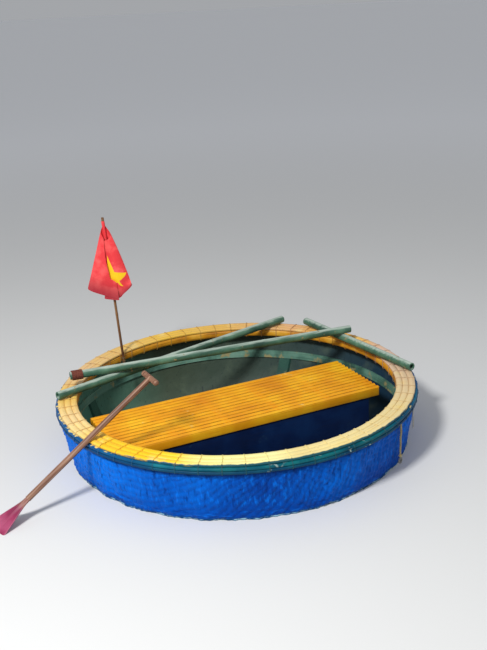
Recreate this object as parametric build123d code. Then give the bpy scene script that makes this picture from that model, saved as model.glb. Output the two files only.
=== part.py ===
from build123d import *
import math
import os

# A round basket boat of woven bamboo, afloat and empty. All sizes are in millimetres.
# The frame: origin at the centre of the waterline plane, Z up, X along the bench.

# Hull
rim_radius = 900.0
rim_height = 290.0
draft = 212.0
hull_wall = 10.0
fit_gap = 0.3

# Corners of the hull's section, measured in from the rim and up from the bottom,
# and the radius of the turn at each
rim_straight = 20.0
rim_turn_radius = 250.0
waterline_inset = 57.6
side_bulge = 3.5
side_turn_height = 15.0
side_turn_radius = 400.0
bilge_inset = 100.0
bilge_height = 85.0
bilge_radius = 200.0
floor_inset = 378.0
floor_height = 7.4
floor_turn_radius = 900.0

# Rim
outer_hoop_width = 20.7
outer_hoop_height = 31.0
cap_overhang = 14.0
cap_thickness = 10.7
cap_width = 92.0
cap_strip_count = 3
cap_crown = 4.5
inner_hoop_height = 42.0
lashing_count = 56
lashing_start = 0.45
lashing_width = 5.0
lashing_thickness = 2.4

# Stringer hoop and ribs inside the hull
stringer_height = 40.0
stringer_thickness = 10.0
stringer_top = 132.0
rib_width = 42.0
rib_thickness = 9.0
rib_to_bench = 205.0
rib_spacing = 180.0

# Bench
bench_top = 182.0
bench_depth = 430.0
bench_end_gap = 169.0
slat_count = 13
slat_width = 27.0
slat_thickness = 9.0
slat_crown = 6.2
rail_width = 30.0
rail_height = 42.0
bearer_count = 6
bearer_width = 34.0
bearer_height = 22.0
board_thickness = 16.0
board_setback = 60.0
board_clearance = 0.5

# Cross poles: two lie on the rim, given by the angles round it at their ends.
# The third lies over them, given by how far along each it crosses and how far past it goes.
pole_diameter = 42.0
pole_end_inset = 16.0
pole_a_angles = (163.8, 47.0)
pole_b_angles = (-24.1, 37.5)
pole_c_along_a = 339.0
pole_c_along_b = 556.5
pole_c_past_a = 228.5
pole_c_past_b = 41.3
whipping_length = 62.0
whipping_setback = 6.0
whipping_thickness = 5.0

# Flag on its stick
flag_pole_diameter = 14.0
flag_pole_angle = 117.5
flag_pole_foot = 160.0
flag_pole_top = 1057.0
flag_pole_lean = (-0.046, 0.016)
flag_lashing_heights = (10.0, 28.0)
flag_drop = 21.0
flag_thickness = 46.0
flag_turn = -24.0
flag_outline = [
    (-12.0, 0.0),
    (12.0, 0.0),
    (60.0, -170.0),
    (100.0, -300.0),
    (30.0, -400.0),
    (-18.0, -424.0),
    (-118.0, -362.0),
    (-60.0, -160.0),
]

# Paddle leaning over the rim, its blade down at the level of the boat's bottom.
# It crosses the rim between two lashings.
shaft_diameter = 28.0
shaft_length = 734.0
grip_length = 132.0
grip_diameter = 27.0
blade_length = 550.0
blade_width = 172.0
blade_thickness = 11.0
paddle_inboard = 373.0
paddle_rim_angle = -162.62
paddle_bearing = 4.2
paddle_roll = -8.0
paddle_axis_drop = 4.0

# Mooring rope tails that hang under the rim: how far each point of a tail lies
# outwards, along the rim and below the outer hoop
rope_offset = 9.0
rope_diameter = 10.0
rope_angle = -57.5
rope_route = [
    (0.0, 0.0, 0.0),
    (0.4, 0.6, 23.7),
    (2.6, -2.2, 48.7),
    (-0.6, -4.6, 75.7),
    (1.2, -3.4, 102.7),
    (-0.4, -6.4, 130.7),
    (0.2, -6.0, 155.7),
]
thin_rope_diameter = 6.0
thin_rope_angle = -45.0
thin_rope_route = [
    (0.0, 0.0, 0.0),
    (0.6, 0.9, 21.7),
    (-0.8, 3.6, 44.7),
    (1.0, 4.9, 69.7),
    (0.2, 8.6, 93.7),
    (0.9, 9.4, 116.7),
]
rope_ring_diameter = 34.0
knot_diameter = 17.0
knot_height = 15.0

# Sizes that follow from the ones above
hull_mouth_radius = rim_radius - outer_hoop_width - fit_gap
cap_outer_radius = rim_radius - cap_overhang
cap_inner_radius = cap_outer_radius - cap_width
cap_bottom = rim_height - cap_thickness
hoop_top = cap_bottom - fit_gap
outer_hoop_bottom = hoop_top - outer_hoop_height
inner_hoop_bottom = hoop_top - inner_hoop_height
hull_edge = cap_bottom - fit_gap
rim_crest = rim_height + cap_crown
pole_seat = rim_crest + lashing_thickness + 2 * fit_gap
rail_top = bench_top - slat_thickness
rail_bottom = rail_top - rail_height
board_top = rail_bottom
rail_offset = bench_depth / 2 - rail_width / 2
slat_length = 2 * (hull_mouth_radius - bench_end_gap)
board_length = slat_length - 2 * board_setback
rib_offset = bench_depth / 2 + rib_to_bench
rib_offsets = (-rib_offset - rib_spacing, -rib_offset, rib_offset, rib_offset + rib_spacing)
strip_width = cap_width / cap_strip_count
pole_end_radius = rim_radius - pole_end_inset
rope_circle = hull_mouth_radius + rope_offset
rope_top = outer_hoop_bottom - fit_gap
slat_pitch = (bench_depth - slat_width) / (slat_count - 1)


def on_circle(radius, angle, height=0.0):
    turn = math.radians(angle)
    return Vector(radius * math.cos(turn), radius * math.sin(turn), height)


def write(shape, name):
    shape.label = name
    export_step(shape, "parts/" + name + ".step")


def revolved(points):
    outline = make_face(Plane.XZ * Polyline(*points, close=True))
    return revolve(outline, Axis.Z)


# A line with rounded corners; a turn that its straight pieces have no room for is made tighter
def rounded_line(points, radii):
    setbacks = [0.0]
    for before, corner, after, radius in zip(points, points[1:], points[2:], radii):
        turn = math.radians((corner - before).get_angle(after - corner))
        setbacks.append(radius * math.tan(turn / 2))
    setbacks.append(0.0)
    shares = [1.0] * len(points)
    for number in range(len(points) - 1):
        room = 0.98 * (points[number + 1] - points[number]).length
        need = setbacks[number] + setbacks[number + 1]
        share = min(1.0, room / need)
        shares[number] = min(shares[number], share)
        shares[number + 1] = min(shares[number + 1], share)
    tighter = [radius * share for radius, share in zip(radii, shares[1:-1])]
    return FilletPolyline(*points, radius=tighter)


# The bowl: one side of its section, from the rim down to the middle of the bottom,
# drawn once and moved inwards by the wall for the inside
def bowl_side(inset):
    corners = [
        (hull_mouth_radius - inset, hull_edge),
        (hull_mouth_radius - inset, inner_hoop_bottom - rim_straight),
        (rim_radius - waterline_inset + side_bulge - inset, side_turn_height),
        (rim_radius - bilge_inset - inset, bilge_height - draft + inset / 2),
        (rim_radius - floor_inset, floor_height - draft + inset),
        (0.0, inset - draft),
    ]
    points = [Vector(across, up, 0) for across, up in corners]
    turns = [rim_turn_radius, side_turn_radius, bilge_radius - inset, floor_turn_radius]
    return rounded_line(points, turns)


def bowl_solid(inset):
    side = bowl_side(inset)
    top = Line((0, hull_edge), (hull_mouth_radius - inset, hull_edge))
    axis_line = Line((0, -draft + inset), (0, hull_edge))
    outline = make_face(Plane.XZ * (side + top + axis_line))
    return revolve(outline, Axis.Z)


def hull_shell():
    hollow = bowl_solid(hull_wall)
    return bowl_solid(0.0) - hollow


# Rim hoops: two strips make each hoop, with a groove between them
def rim_outer_hoop():
    inner = hull_mouth_radius + fit_gap
    middle = outer_hoop_bottom + outer_hoop_height / 2
    groove = 2.5
    edge = 4.0
    return revolved([
        (inner, outer_hoop_bottom),
        (rim_radius - edge, outer_hoop_bottom),
        (rim_radius, outer_hoop_bottom + edge),
        (rim_radius, middle - groove),
        (rim_radius - groove, middle),
        (rim_radius, middle + groove),
        (rim_radius, hoop_top - 2 * edge),
        (cap_outer_radius + edge, hoop_top),
        (inner, hoop_top),
    ])


def rim_inner_hoop():
    outer = hull_mouth_radius - hull_wall - fit_gap
    middle = (outer + cap_inner_radius) / 2
    groove = 3.0
    edge = 4.0
    return revolved([
        (cap_inner_radius + edge, inner_hoop_bottom),
        (middle - groove, inner_hoop_bottom),
        (middle, inner_hoop_bottom + groove),
        (middle + groove, inner_hoop_bottom),
        (outer, inner_hoop_bottom),
        (outer, hoop_top),
        (cap_inner_radius, hoop_top),
        (cap_inner_radius, inner_hoop_bottom + edge),
    ])


# The cap: flat strips laid side by side, each with a crowned top
def rim_cap():
    edges = Line((cap_inner_radius, rim_height), (cap_inner_radius, cap_bottom))
    edges += Line((cap_inner_radius, cap_bottom), (cap_outer_radius, cap_bottom))
    edges += Line((cap_outer_radius, cap_bottom), (cap_outer_radius, rim_height))
    for number in range(cap_strip_count):
        near = cap_inner_radius + number * strip_width
        edges += ThreePointArc(
            (near, rim_height),
            (near + strip_width / 2, rim_crest),
            (near + strip_width, rim_height),
        )
    return revolve(make_face(Plane.XZ * edges), Axis.Z)


# A lashing is a flat cord over the rim with its two ends tucked under the hoops
def rim_lashings():
    skin = fit_gap
    far = lashing_thickness + fit_gap
    hull_face = hull_mouth_radius + 2.0
    hull_inside = hull_mouth_radius - hull_wall - 2.0
    shoulder = 4.0

    def around(gap):
        return [
            (hull_face, outer_hoop_bottom - gap),
            (rim_radius - shoulder + gap / 2, outer_hoop_bottom - gap),
            (rim_radius + gap, outer_hoop_bottom + shoulder - gap / 2),
            (rim_radius + gap, hoop_top - 2 * shoulder + gap / 2),
            (cap_outer_radius + shoulder + gap / 2, hoop_top + gap),
            (cap_outer_radius + gap, hoop_top + gap),
            (cap_outer_radius + gap, rim_height + gap / 2),
            (cap_outer_radius - strip_width / 5, rim_crest + gap),
            (cap_inner_radius + strip_width / 5, rim_crest + gap),
            (cap_inner_radius - gap, rim_height + gap / 2),
            (cap_inner_radius - gap, inner_hoop_bottom + shoulder - gap / 2),
            (cap_inner_radius + shoulder - gap / 2, inner_hoop_bottom - gap),
            (hull_inside, inner_hoop_bottom - gap),
        ]

    outline = around(far) + around(skin)[::-1]
    band = extrude(make_face(Plane.XZ * Polyline(*outline, close=True)), lashing_width / 2, both=True)
    step = 360.0 / lashing_count
    copies = [Rot(0, 0, (number + lashing_start) * step) * band for number in range(lashing_count)]
    return Compound(children=copies)


def stringer_hoop():
    # a ring against the wall, between two levels, open in the middle
    wall = bowl_solid(hull_wall + fit_gap)
    hollow = bowl_solid(hull_wall + fit_gap + stringer_thickness)
    level = Pos(0, 0, stringer_top - stringer_height / 2)
    slab = level * Box(2 * rim_radius, 2 * rim_radius, stringer_height)
    return (wall - hollow) & slab


# Each rib is two bent strips that meet on the middle line of the floor
def half_rib(offset, side):
    wall = bowl_solid(hull_wall + fit_gap)
    hollow = bowl_solid(hull_wall + fit_gap + rib_thickness)
    top = stringer_top - stringer_height - fit_gap
    height = top + draft
    middle = side * (rim_radius + fit_gap) / 2
    slab = Pos(middle, offset, top - height / 2) * Box(rim_radius, rib_width, height)
    return (wall - hollow) & slab


# Bench: two boards stand on the hull and carry the rails; bearers cross between
# the rails, and split bamboo slats lie on rails and bearers
def bench_board(side):
    inside = bowl_solid(hull_wall + board_clearance)
    height = board_top + draft
    blank = Pos(0, side * rail_offset, board_top - height / 2)
    blank = blank * Box(board_length, board_thickness, height)
    return blank & inside


def bench_rail(side):
    middle = rail_bottom + rail_height / 2
    return Pos(0, side * rail_offset, middle) * Box(slat_length, rail_width, rail_height)


def bench_bearer(place):
    length = 2 * rail_offset - rail_width - 2 * fit_gap
    return Pos(place, 0, rail_top - bearer_height / 2) * Box(bearer_width, length, bearer_height)


def bench_slat(number):
    across = -bench_depth / 2 + slat_width / 2 + number * slat_pitch
    half = slat_width / 2
    full = slat_thickness - fit_gap
    flat = full - slat_crown
    section = Line((-half, 0), (half, 0)) + Line((half, 0), (half, flat))
    section += ThreePointArc((half, flat), (0, full), (-half, flat))
    section += Line((-half, flat), (-half, 0))
    bar = extrude(make_face(Plane.YZ * section), slat_length / 2, both=True)
    return Pos(0, across, rail_top + fit_gap) * bar


# Cross poles
def pole_between(start, finish, diameter):
    run = finish - start
    plane = Plane(origin=start, z_dir=run)
    return plane * Pos(0, 0, run.length / 2) * Cylinder(diameter / 2, run.length)


def rim_pole(angles):
    height = pole_seat + pole_diameter / 2
    start = on_circle(pole_end_radius, angles[0], height)
    finish = on_circle(pole_end_radius, angles[1], height)
    return pole_between(start, finish, pole_diameter)


def point_along(angles, distance):
    # a point on the axis of a rim pole, and as high as the axis of the pole over it
    height = pole_seat + fit_gap + 1.5 * pole_diameter
    start = on_circle(pole_end_radius, angles[0], height)
    finish = on_circle(pole_end_radius, angles[1], height)
    return start + (finish - start).normalized() * distance


def top_pole_ends():
    over_a = point_along(pole_a_angles, pole_c_along_a)
    over_b = point_along(pole_b_angles, pole_c_along_b)
    along = (over_b - over_a).normalized()
    return over_a - along * pole_c_past_a, over_b + along * pole_c_past_b


def top_pole():
    start, finish = top_pole_ends()
    return pole_between(start, finish, pole_diameter)


def pole_whipping():
    start, finish = top_pole_ends()
    along = (finish - start).normalized()
    first = start + along * whipping_setback
    last = first + along * whipping_length
    sleeve = pole_between(first, last, pole_diameter + 2 * whipping_thickness)
    return sleeve - pole_between(start, finish, pole_diameter + fit_gap)


# Flag
def flag_pole_ends():
    # it touches the inside of the rim at the level of the rim's top
    reach = cap_inner_radius - flag_pole_diameter / 2 - 2 * fit_gap
    touch = on_circle(reach, flag_pole_angle, rim_height)
    lean = Vector(flag_pole_lean[0], flag_pole_lean[1], 1.0)
    foot = touch + lean * (flag_pole_foot - rim_height)
    top = touch + lean * (flag_pole_top - rim_height)
    return foot, top


def flag_pole():
    foot, top = flag_pole_ends()
    return pole_between(foot, top, flag_pole_diameter)


def flag_cloth():
    foot, top = flag_pole_ends()
    across = on_circle(1.0, flag_turn)
    plane = Plane(origin=(top.X, top.Y, top.Z - flag_drop), x_dir=across, z_dir=(across.Y, -across.X, 0))
    body = extrude(plane * make_face(Polyline(*flag_outline, close=True)), flag_thickness / 2, both=True)
    return body - pole_between(foot, top, flag_pole_diameter + 2 * fit_gap)


def flag_pole_lashings():
    # flat cord round the stick, its ends against the inner face of the rim
    foot, top = flag_pole_ends()
    lean = Vector(flag_pole_lean[0], flag_pole_lean[1], 1.0)
    outer = flag_pole_diameter + 2 * (lashing_thickness + fit_gap)
    inner = flag_pole_diameter + 2 * fit_gap
    rim_face = bore_cylinder(cap_inner_radius - fit_gap)
    bands = []
    for height in flag_lashing_heights:
        middle = foot + lean * (inner_hoop_bottom + height - flag_pole_foot)
        out = on_circle(1.0, flag_pole_angle)
        block = Plane(origin=middle, x_dir=out, z_dir=(0, 0, 1))
        round_part = block * Cylinder(outer / 2, lashing_width)
        arms = block * Pos(outer / 2, 0, 0) * Box(outer, outer, lashing_width)
        hole = Cylinder(inner / 2, 4 * lashing_width)
        hole += Pos(outer, 0, 0) * Box(2 * outer, inner, 4 * lashing_width)
        bands.append((round_part + arms - block * hole) & rim_face)
    return Compound(children=bands)


def bore_cylinder(radius):
    return Cylinder(radius, 4 * rim_height)


# Paddle: its shaft leans on the outer edge of the cap. Its axis comes down by the height
# of the boat and a little more, as the seat lies higher over the rim than the blade's
# middle lies over the bottom.
def paddle_plane():
    edge = on_circle(cap_outer_radius, paddle_rim_angle, rim_height)
    along_rim = on_circle(1.0, paddle_rim_angle + 90)
    outboard = shaft_length - paddle_inboard + blade_length
    dip = math.asin((rim_height + draft + paddle_axis_drop) / outboard)
    level = on_circle(math.cos(dip), paddle_bearing)
    inboard = Vector(level.X, level.Y, math.sin(dip))
    lift = along_rim.cross(inboard).normalized()
    origin = edge + lift * (shaft_diameter / 2 + fit_gap)
    sideways = on_circle(1.0, paddle_bearing + 90)
    lifted = inboard.cross(sideways)
    roll = math.radians(paddle_roll)
    face = lifted * math.cos(roll) + sideways * math.sin(roll)
    return Plane(origin=origin, x_dir=inboard, z_dir=face)


def paddle_shaft():
    middle = paddle_inboard - shaft_length / 2
    return paddle_plane() * Pos(middle, 0, 0) * Rot(0, 90, 0) * Cylinder(shaft_diameter / 2, shaft_length)


def paddle_grip():
    place = paddle_inboard + fit_gap + grip_diameter / 2
    bar = Rot(90, 0, 0) * Cylinder(grip_diameter / 2, grip_length)
    bar = fillet(bar.edges(), 8.0)
    collar = Pos(-grip_diameter / 4, 0, 0) * Rot(0, 90, 0) * Cylinder(shaft_diameter / 2, grip_diameter / 2)
    return paddle_plane() * Pos(place, 0, 0) * (bar + collar)


def paddle_blade():
    start = paddle_inboard - shaft_length - fit_gap
    half = blade_width / 2
    spine_length = 0.45 * blade_length
    neck = shaft_diameter / 2
    side = [(0.0, neck), (0.18, 0.5 * half), (0.45, 0.92 * half), (0.78, 0.9 * half)]
    points = [(start - share * blade_length, across) for share, across in side]
    points.append((start - blade_length, 0.0))
    points += [(along, -across) for along, across in reversed(points[:-1])]
    edge = Spline(*points) + Line(points[-1], points[0])
    plate = extrude(make_face(edge), blade_thickness / 2, both=True)
    spine = Rot(0, -90, 0) * Cone(shaft_diameter / 2, blade_thickness / 2, spine_length)
    return paddle_plane() * (plate + Pos(start - spine_length / 2, 0, 0) * spine)


# Rope tails under the rim
def rope_points(angle, route):
    out = on_circle(1.0, angle)
    along = Vector(-out.Y, out.X, 0)
    points = []
    for outward, sideways, drop in route:
        point = out * (rope_circle + outward) + along * sideways
        points.append(Vector(point.X, point.Y, rope_top - drop))
    return points


def cord_tube(angle, route, diameter, name):
    points = rope_points(angle, route)
    widest = [rim_radius] * (len(points) - 2)
    path = rounded_line(points, widest)
    section = Plane(origin=points[0], z_dir=points[1] - points[0]) * Circle(diameter / 2)
    tube = sweep(section, path=path)
    expected = math.pi * diameter ** 2 / 4 * path.length
    print(name, "length", round(path.length, 1), "volume ratio", round(tube.volume / expected, 4))
    return tube


def rope_end():
    # the plane at the free end of the thick rope, its first axis along the rim
    end = rope_points(rope_angle, rope_route)[-1]
    along = on_circle(1.0, rope_angle + 90)
    return Plane(origin=(end.X, end.Y, end.Z - fit_gap), x_dir=along, z_dir=(0, 0, 1))


def mooring_rope_knot():
    knot = Pos(0, 0, -knot_height / 2) * Cylinder(knot_diameter / 2, knot_height)
    return rope_end() * fillet(knot.edges(), 0.18 * knot_diameter)


def mooring_rope_ring():
    swing = (rope_ring_diameter - rope_diameter) / 2
    drop = knot_height + fit_gap + rope_ring_diameter / 2
    return rope_end() * Pos(0, 0, -drop) * Rot(90, 0, 0) * Torus(swing, rope_diameter / 2)


def build_all():
    os.makedirs("parts", exist_ok=True)
    write(hull_shell(), "hull_shell")
    write(rim_outer_hoop(), "rim_outer_hoop")
    write(rim_inner_hoop(), "rim_inner_hoop")
    write(rim_cap(), "rim_cap")
    write(rim_lashings(), "rim_lashings")
    write(stringer_hoop(), "stringer_hoop")
    for number, offset in enumerate(rib_offsets, start=1):
        write(half_rib(offset, -1), "floor_rib_%d_left" % number)
        write(half_rib(offset, 1), "floor_rib_%d_right" % number)
    write(bench_board(-1), "bench_front_board")
    write(bench_board(1), "bench_back_board")
    write(bench_rail(-1), "bench_front_rail")
    write(bench_rail(1), "bench_back_rail")
    spread = slat_length - bearer_width
    for number in range(bearer_count):
        place = -spread / 2 + number * spread / (bearer_count - 1)
        write(bench_bearer(place), "bench_bearer_%d" % (number + 1))
    for number in range(slat_count):
        write(bench_slat(number), "bench_slat_%02d" % (number + 1))
    write(rim_pole(pole_a_angles), "cross_pole_a")
    write(rim_pole(pole_b_angles), "cross_pole_b")
    write(top_pole(), "cross_pole_c")
    write(pole_whipping(), "pole_whipping")
    write(flag_pole(), "flag_pole")
    write(flag_pole_lashings(), "flag_pole_lashings")
    write(flag_cloth(), "flag_cloth")
    write(paddle_shaft(), "paddle_shaft")
    write(paddle_grip(), "paddle_grip")
    write(paddle_blade(), "paddle_blade")
    write(cord_tube(rope_angle, rope_route, rope_diameter, "rope"), "mooring_rope")
    write(mooring_rope_knot(), "mooring_rope_knot")
    write(mooring_rope_ring(), "mooring_rope_ring")
    write(cord_tube(thin_rope_angle, thin_rope_route, thin_rope_diameter, "thin rope"), "thin_rope")


build_all()
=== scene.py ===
# A round basket boat: woven bowl, bound rim, slatted bench, poles, paddle and a small flag.
# Everything is in metres. The boat's own axis is Z, the waterline is at z = 0,
# and angles round the rim are in degrees from the X axis.
import math

import bpy
from mathutils import Matrix, Vector, noise


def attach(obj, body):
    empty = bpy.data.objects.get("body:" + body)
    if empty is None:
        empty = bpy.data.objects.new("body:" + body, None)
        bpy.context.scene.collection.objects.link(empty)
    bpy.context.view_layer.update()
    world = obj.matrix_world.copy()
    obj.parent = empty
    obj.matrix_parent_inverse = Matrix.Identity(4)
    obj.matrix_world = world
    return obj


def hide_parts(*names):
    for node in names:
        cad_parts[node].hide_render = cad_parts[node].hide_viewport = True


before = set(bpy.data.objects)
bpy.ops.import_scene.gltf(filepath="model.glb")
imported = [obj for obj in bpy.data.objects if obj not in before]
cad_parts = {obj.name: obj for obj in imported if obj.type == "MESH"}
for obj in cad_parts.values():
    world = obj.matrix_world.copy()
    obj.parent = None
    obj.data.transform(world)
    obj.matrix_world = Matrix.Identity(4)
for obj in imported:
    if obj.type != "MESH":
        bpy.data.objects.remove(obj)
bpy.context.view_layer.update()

# Hull
mouth_radius = 0.879
hull_wall = 0.010
hull_edge = 0.279
draft = 0.212
floor_hole_radius = 0.836

# Rim
rim_radius = 0.900
outer_hoop_bottom = 0.248
inner_hoop_bottom = 0.237
hoop_top = 0.279
cap_inner = 0.794
cap_outer = 0.886
cap_bottom = 0.2793
rim_height = 0.290
rim_crest = 0.2945
strip_count = 3
strip_width = (cap_outer - cap_inner) / strip_count
binding_count = 56
binding_start = 0.45

# Bench
slat_count = 13
slat_pitch = 0.033583
slat_width = 0.027
slat_thickness = 0.0087
slat_crown = 0.0062
slat_length = 1.420
bench_base = 0.1733
rail_offset = 0.200
rail_width = 0.030
rail_bottom = 0.131
rail_top = 0.173

# Poles, from one end of the middle line to the other, and their bamboo joints
pole_radius = 0.021
poles = {
    "cross_pole_a": ((-0.8489, 0.24663, 0.3185), (0.60289, 0.64652, 0.3185), (0.14, 0.43, 0.71, 0.99, 1.26)),
    "cross_pole_b": ((0.80695, -0.36096, 0.3185), (0.70132, 0.53815, 0.3185), (0.16, 0.42, 0.66)),
    "cross_pole_c": ((-0.74908, 0.36268, 0.3608), (0.78305, 0.18703, 0.3608), (0.19, 0.47, 0.76, 1.04, 1.31)),
}
whipping_start = 0.006
whipping_length = 0.062
whipping_cord = 0.005

# Flag
stick_radius = 0.007
stick_foot = Vector((-0.35714, 0.69547, 0.160))
stick_top = Vector((-0.3984, 0.70982, 1.057))
stick_joints = (0.17, 0.36, 0.55, 0.74)
stick_angle = 117.5
stick_tie_heights = (0.247, 0.265)
stick_tie_cord = 0.0025
flag_hoist = 0.30
flag_fly = 0.45
flag_top = 1.036
flag_thickness = 0.0008

# Paddle: where its shaft crosses the rim, and the directions along it and across its face
paddle_origin = Vector((-0.85327, -0.26707, 0.30179))
paddle_inboard = Vector((0.82933, 0.0609, 0.55543))
paddle_across = Vector((-0.14962, 0.98195, 0.11573))
paddle_face = Vector((-0.53836, -0.17908, 0.82347))
shaft_radius = 0.014
shaft_inner_end = 0.373
shaft_outer_end = -0.361
grip_length = 0.132
grip_radius = 0.0135
seat_gap = 0.0003
blade_start = -0.3613
blade_length = 0.550

# Rope tails: the points of each tail, from under the rim down
rope_route = [
    (0.47712, -0.74893, 0.2477),
    (0.47784, -0.74895, 0.224),
    (0.47666, -0.75231, 0.199),
    (0.47292, -0.7509, 0.172),
    (0.4749, -0.75177, 0.145),
    (0.47151, -0.75203, 0.117),
    (0.47217, -0.75232, 0.092),
]
rope_diameter = 0.010
rope_lay = 0.032
rope_spacing = 0.003
thin_rope_route = [
    (0.62791, -0.62791, 0.2477),
    (0.62897, -0.6277, 0.226),
    (0.62989, -0.6248, 0.203),
    (0.63208, -0.62515, 0.178),
    (0.63413, -0.62197, 0.154),
    (0.63519, -0.6219, 0.131),
]
thin_rope_diameter = 0.006
thin_rope_lay = 0.020
thin_rope_spacing = 0.0025
rope_angle = -57.5
knot_height = 0.015
ring_radius = 0.017


# Small sums
def on_circle(radius, angle):
    turn = math.radians(angle)
    return Vector((radius * math.cos(turn), radius * math.sin(turn), 0.0))


def spoke_to(spot):
    """The level direction from the boat's axis to a point."""
    return Vector((spot.x, spot.y, 0.0)).normalized()


def noise_at(*place):
    return noise.noise(Vector(place))


def between(value, low, high):
    return max(0.0, min(1.0, (value - low) / (high - low)))


def eased(share):
    return share * share * (3.0 - 2.0 * share)


def straight(share):
    return share


def step_between(value, low, high):
    """0 below low and 1 above high, with a soft start and end."""
    return eased(between(value, low, high))


def along_table(place, table, ease=eased):
    """The value at a place in a short table of (place, value)."""
    for (before, low), (after, high) in zip(table, table[1:]):
        if place <= after:
            return low + (high - low) * ease(between(place, before, after))
    return table[-1][1]


def even_places(start, length, steps):
    return [start + length * step / steps for step in range(steps + 1)]


def widened(spot, full, along=0.0):
    """A point of a bar along X, made wider or narrower and moved along it."""
    return Vector((spot.x + along, spot.y * full, spot.z * full))


# Camera
camera_place = Vector((-1.80252, -4.04853, 2.15869))
camera_right = Vector((0.900450, -0.432245, -0.048519))
camera_up = Vector((0.185784, 0.281348, 0.941450))
camera_forward = Vector((0.393286, 0.856743, -0.333644))
camera_lens = 52.89
camera_sensor = 36.0
camera_reach = 100.0


def axes_matrix(origin, along, across, up):
    turned_axes = Matrix((along, across, up)).transposed()
    return Matrix.Translation(origin) @ turned_axes.to_4x4()


def set_camera():
    data = bpy.data.cameras.new("view_camera")
    data.lens = camera_lens
    data.sensor_width = camera_sensor
    data.clip_end = camera_reach
    camera = bpy.data.objects.new("view_camera", data)
    bpy.context.collection.objects.link(camera)
    camera.matrix_world = axes_matrix(camera_place, camera_right, camera_up, -camera_forward)
    bpy.context.scene.camera = camera


set_camera()

# Ways of working
weld_distance = 0.00002
on_axis_distance = 1e-6
nearly_upright = 0.1


def only(piece):
    bpy.ops.object.select_all(action="DESELECT")
    piece.select_set(True)
    bpy.context.view_layer.objects.active = piece


def started(name, primitive, location=(0, 0, 0), **settings):
    """A new mesh, from one of the simple shapes."""
    bpy.ops.object.select_all(action="DESELECT")
    primitive(location=location, **settings)
    piece = bpy.context.object
    piece.name = name
    return piece


def start_edit(piece, choice="SELECT"):
    only(piece)
    bpy.ops.object.mode_set(mode="EDIT")
    bpy.ops.mesh.select_all(action=choice)


def end_edit():
    bpy.ops.object.mode_set(mode="OBJECT")


def choose(piece, kind, test):
    """Starts to edit a piece with only some of its faces, or of its edges, selected."""
    start_edit(piece, "DESELECT")
    bpy.ops.mesh.select_mode(type=kind)
    end_edit()
    for part in piece.data.polygons if kind == "FACE" else piece.data.edges:
        part.select = test(part)
    bpy.ops.object.mode_set(mode="EDIT")


def tidy_surface(piece):
    start_edit(piece)
    bpy.ops.mesh.remove_doubles(threshold=weld_distance)
    bpy.ops.mesh.normals_make_consistent(inside=False)
    end_edit()


def smooth(piece, angle):
    only(piece)
    bpy.ops.object.shade_smooth_by_angle(angle=math.radians(angle))


def shift_points(piece, move):
    for point in piece.data.vertices:
        point.co = move(point.co)
    piece.data.update()


def place_mesh(piece, matrix):
    only(piece)
    piece.matrix_world = matrix
    bpy.ops.object.transform_apply(location=True, rotation=True, scale=True)


def lay_between(piece, start, finish):
    """Puts a piece that was drawn along X on the line from start to finish."""
    along = (Vector(finish) - Vector(start)).normalized()
    across = Vector((0.0, 0.0, 1.0)).cross(along)
    if across.length < nearly_upright:
        across = Vector((0.0, 1.0, 0.0)).cross(along)
    across.normalize()
    place_mesh(piece, axes_matrix(Vector(start), along, across, along.cross(across)))


def joined(pieces, name):
    only(pieces[0])
    for piece in pieces:
        piece.select_set(True)
    bpy.ops.object.join()
    pieces[0].name = name
    return pieces[0]


def section_ring(name, outline, to_point):
    piece = started(name, bpy.ops.mesh.primitive_circle_add, vertices=len(outline), radius=1.0)
    for point, spot in zip(piece.data.vertices, outline):
        point.co = to_point(spot)
    return piece


def turned(name, outline, steps, on_axis=False):
    """A section of (radius, height) points, spun once round the boat's axis."""
    piece = section_ring(name, outline, lambda spot: (spot[0], 0.0, spot[1]))

    def is_on_axis(edge):
        ends = [piece.data.vertices[end].co.x for end in edge.vertices]
        return on_axis and max(ends) < on_axis_distance

    choose(piece, "EDGE", is_on_axis)
    if on_axis:
        bpy.ops.mesh.delete(type="EDGE")
    bpy.ops.mesh.select_all(action="SELECT")
    bpy.ops.mesh.spin(steps=steps, angle=2 * math.pi, center=(0, 0, 0), axis=(0, 0, 1))
    end_edit()
    tidy_surface(piece)
    return piece


def drawn_bar(name, outline, stations):
    """A section of (across, up) points, extruded along X from station to station."""
    piece = section_ring(name, outline, lambda spot: (stations[0], spot[0], spot[1]))
    start_edit(piece)
    bpy.ops.mesh.edge_face_add()
    for before, after in zip(stations, stations[1:]):
        bpy.ops.mesh.extrude_region_move(TRANSFORM_OT_translate={"value": (after - before, 0, 0)})
    end_edit()
    tidy_surface(piece)
    return piece


def round_outline(radius, sides):
    turns = [2 * math.pi * side / sides for side in range(sides)]
    return [(radius * math.cos(turn), radius * math.sin(turn)) for turn in turns]


def line_curve(name, points, kind, closed=False):
    curve = bpy.data.curves.new(name, "CURVE")
    curve.dimensions = "3D"
    spline = curve.splines.new(kind)
    spline.points.add(len(points) - 1)
    for knot, spot in zip(spline.points, points):
        knot.co = (*spot, 1.0)
    spline.use_cyclic_u = closed
    if kind == "NURBS":
        spline.order_u = 3
        spline.use_endpoint_u = not closed
        spline.resolution_u = 8
    piece = bpy.data.objects.new(name, curve)
    bpy.context.collection.objects.link(piece)
    return piece


def strand(name, points, radius, sides=1, closed=False):
    """A round strand that follows points, as a mesh."""
    piece = line_curve(name, points, "POLY", closed)
    piece.data.bevel_depth = radius
    piece.data.bevel_resolution = sides
    piece.data.use_fill_caps = not closed
    only(piece)
    bpy.ops.object.convert(target="MESH")
    piece = bpy.context.object
    tidy_surface(piece)
    smooth(piece, 60.0)
    return piece


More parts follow.
